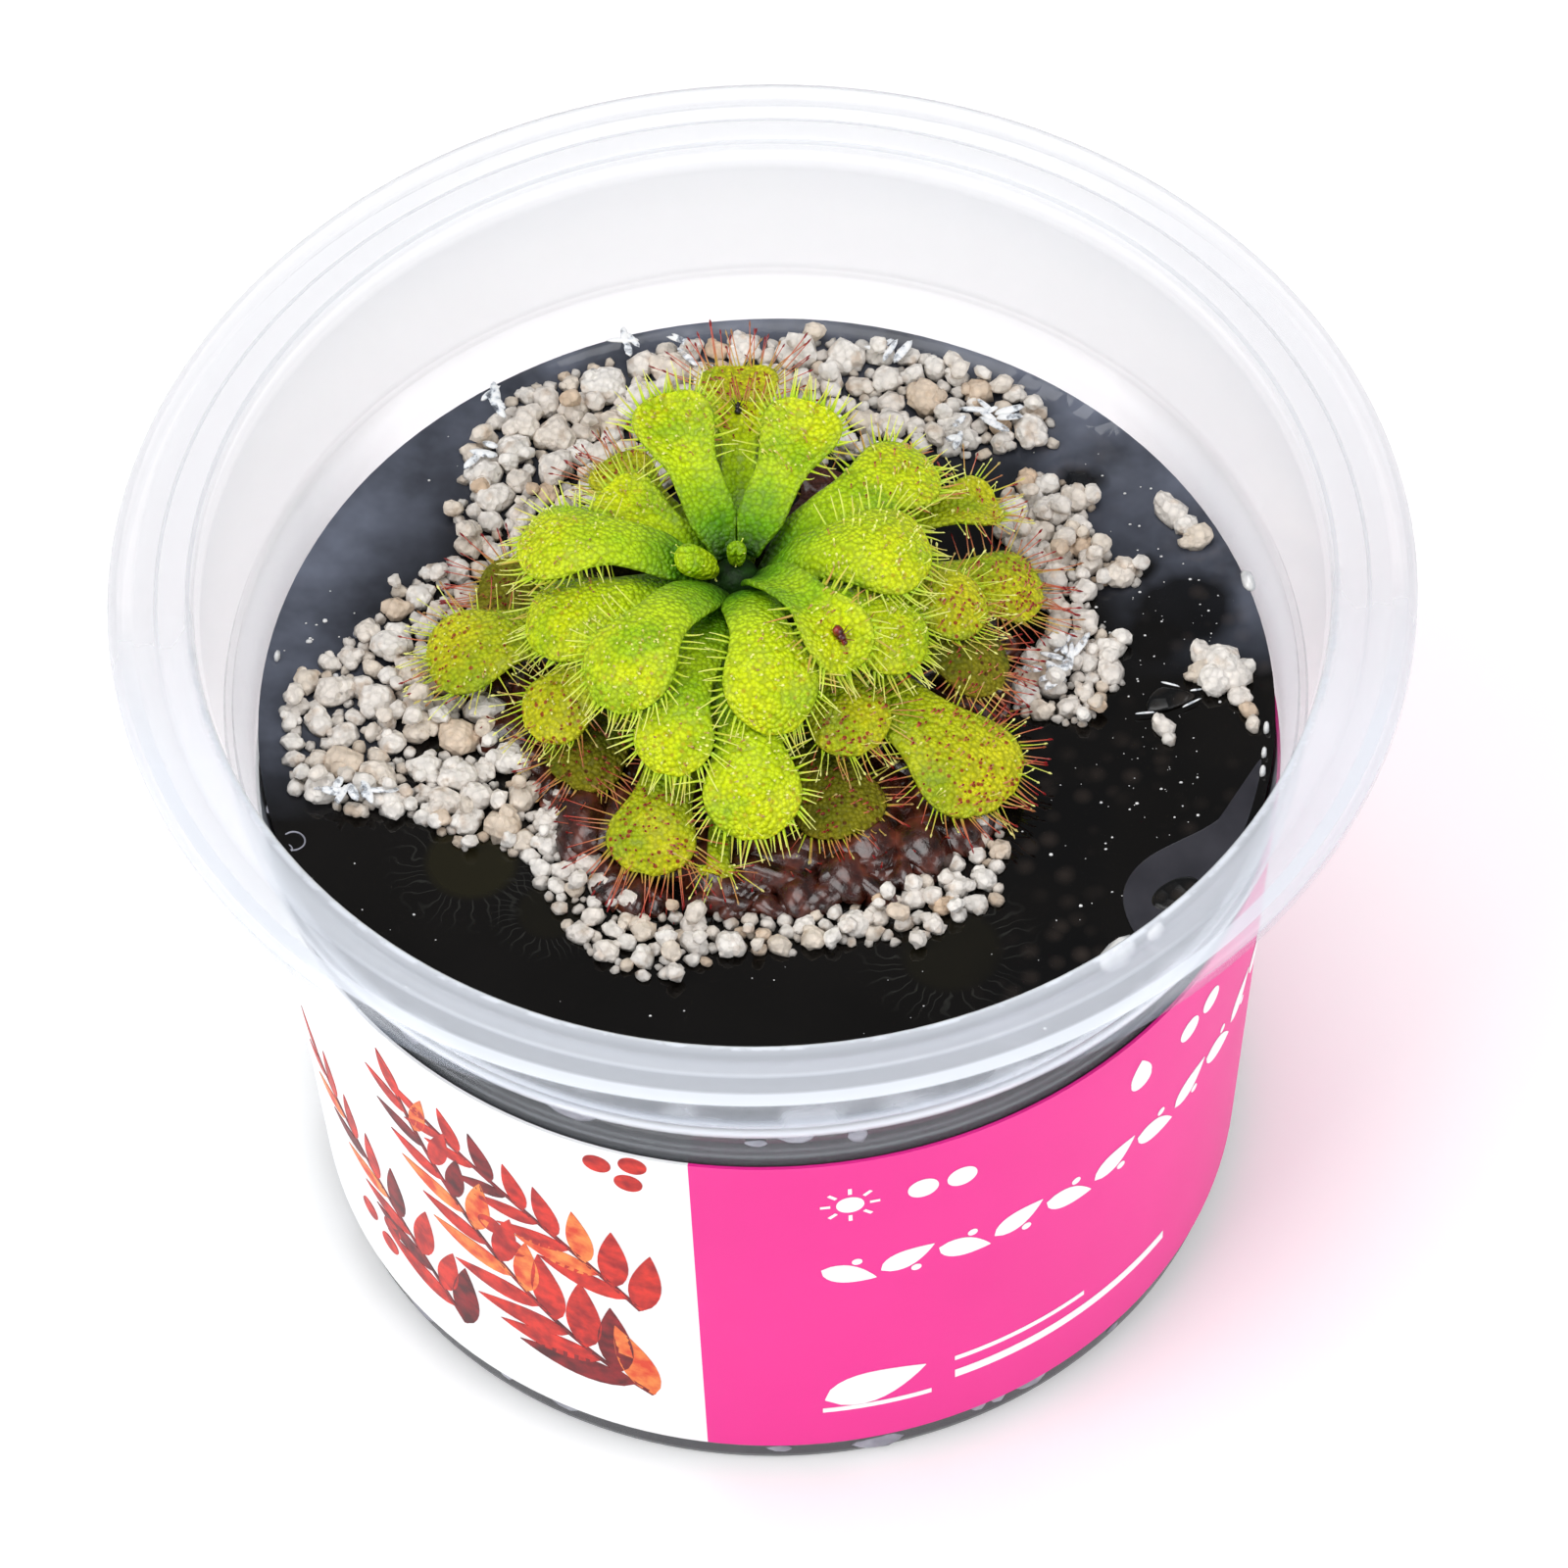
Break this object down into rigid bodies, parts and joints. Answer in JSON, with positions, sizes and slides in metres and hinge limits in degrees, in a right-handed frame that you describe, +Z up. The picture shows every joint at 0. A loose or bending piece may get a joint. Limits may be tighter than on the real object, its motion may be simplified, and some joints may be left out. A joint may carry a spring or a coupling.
{
  "type": "sundew plant in a clear tissue-culture cup",
  "caption": "Round-leaved sundew rosette with sticky red-tipped hairs, growing in black gel and white perlite in a clear plastic cup with a magenta and white label.",
  "frame": {"origin": "centre of the underside of the cup's base", "axes": "+Z up along the cup's axis, -Y towards the front, where the white and magenta halves of the label meet, +X to the right seen from the front"},
  "size_m": [0.101, 0.101, 0.067],
  "materials": {
    "clear_plastic": "clear polypropylene with a faint milky haze",
    "label_print": "satin coated print, magenta and white",
    "black_gel": "wet, mirror-smooth agar gel",
    "perlite": "matte, rough, off-white with tan spots",
    "leaf_young": "moist, pebbled lime-green leaf",
    "leaf_mature": "moist, pebbled yellow-green leaf with red glands",
    "leaf_old": "dull olive leaf with red glands",
    "leaf_withered": "wet, dark red-brown withered leaf"
  },
  "bodies": {
    "root": {"cup": "clear_plastic", "label": "label_print", "gel": "black_gel", "crown": "leaf_young", "bud_folded": "leaf_young", "bud_centre": "leaf_young", "leaf_front_shade": "leaf_old", "leaf_left_shade": "leaf_old", "leaf_front_small": "leaf_mature", "leaf_left_far_low": "leaf_old", "leaf_right_big": "leaf_mature", "leaf_right_far": "leaf_mature", "leaf_front_low": "leaf_mature", "leaf_back_low": "leaf_mature", "leaf_right_brown": "leaf_old", "leaf_left_far": "leaf_mature", "leaf_front_right_low": "leaf_mature", "leaf_right_back_edge": "leaf_mature", "leaf_back_left_low": "leaf_mature", "leaf_left_under": "leaf_mature", "leaf_right_mid": "leaf_mature", "leaf_front_centre": "leaf_young", "leaf_left_low": "leaf_young", "leaf_right_back": "leaf_young", "leaf_front_left_under": "leaf_young", "leaf_back_left_dark": "leaf_young", "leaf_back_small": "leaf_young", "leaf_right_low": "leaf_young", "leaf_front_right": "leaf_young", "leaf_left_high": "leaf_young", "leaf_front_left": "leaf_young", "leaf_right_high": "leaf_young", "leaf_back_left": "leaf_young", "leaf_front_cupped": "leaf_young", "leaf_back_right": "leaf_young", "leaf_dead_left": "leaf_withered", "leaf_dead_front_left": "leaf_withered", "leaf_dead_front": "leaf_withered", "leaf_dead_front_right": "leaf_withered", "leaf_dead_right": "leaf_withered", "leaf_dead_back": "leaf_withered", "perlite_bed": "perlite", "perlite_patch": "perlite", "perlite_clump_right": "perlite", "perlite_clump_back": "perlite", "perlite_chip": "perlite"}
  },
  "joints": []
}
